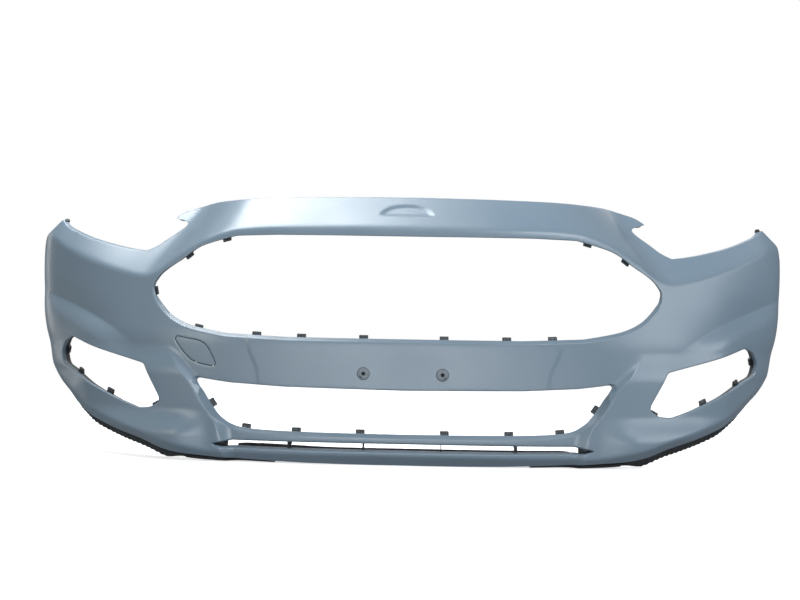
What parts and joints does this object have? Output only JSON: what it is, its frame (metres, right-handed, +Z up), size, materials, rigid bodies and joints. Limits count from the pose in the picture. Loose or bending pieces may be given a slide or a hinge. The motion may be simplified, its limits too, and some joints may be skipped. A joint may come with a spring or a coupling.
{
  "type": "bumper cover",
  "caption": "Primed front bumper cover for a mid-size saloon, with hinged tow-eye cap, fog-lamp and grille openings, and black lower air deflectors.",
  "frame": {"origin": "bottom centre of the bounding box: on the car's centre plane, level with the lowest edge", "axes": "+X across the car to the right of someone facing its front, -Y forwards out of the front face, +Z up"},
  "size_m": [1.8706, 0.5461, 0.6122],
  "materials": {
    "primed_plastic": "satin",
    "black_plastic": "grained",
    "grey_nylon": "satin",
    "spring_steel": "satin"
  },
  "bodies": {
    "cover": {"air_deflector_blade_left": "black_plastic", "air_deflector_blade_right": "black_plastic", "air_deflector_strip_left": "black_plastic", "air_deflector_strip_right": "black_plastic", "arch_nut_bottom_left": "spring_steel", "arch_nut_bottom_right": "spring_steel", "arch_nut_middle_left": "spring_steel", "arch_nut_middle_right": "spring_steel", "arch_nut_top_left": "spring_steel", "arch_nut_top_right": "spring_steel", "bumper_cover": "primed_plastic", "deflector_rivet_corner_left": "black_plastic", "deflector_rivet_corner_right": "black_plastic", "deflector_rivet_front_left": "black_plastic", "deflector_rivet_front_right": "black_plastic", "deflector_rivet_inner_left": "black_plastic", "deflector_rivet_inner_right": "black_plastic", "deflector_rivet_middle_left": "black_plastic", "deflector_rivet_middle_right": "black_plastic", "deflector_rivet_outer_left": "black_plastic", "deflector_rivet_outer_right": "black_plastic", "deflector_rivet_rear_left": "black_plastic", "deflector_rivet_rear_right": "black_plastic", "plate_grommet_left": "grey_nylon", "plate_grommet_right": "grey_nylon", "tip_clip_left": "black_plastic", "tip_clip_right": "black_plastic", "wing_clip_left": "black_plastic", "wing_clip_right": "black_plastic"},
    "tow_eye_cap": {"tow_eye_cap": "primed_plastic"}
  },
  "joints": [
    {"name": "tow_eye_cap_hinge", "type": "hinge", "parent": "cover", "child": "tow_eye_cap", "pos_m": [-0.45534, -0.22995, 0.2172], "axis": [0.952, -0.2741, -0.1366], "range_deg": [0, 90]}
  ]
}
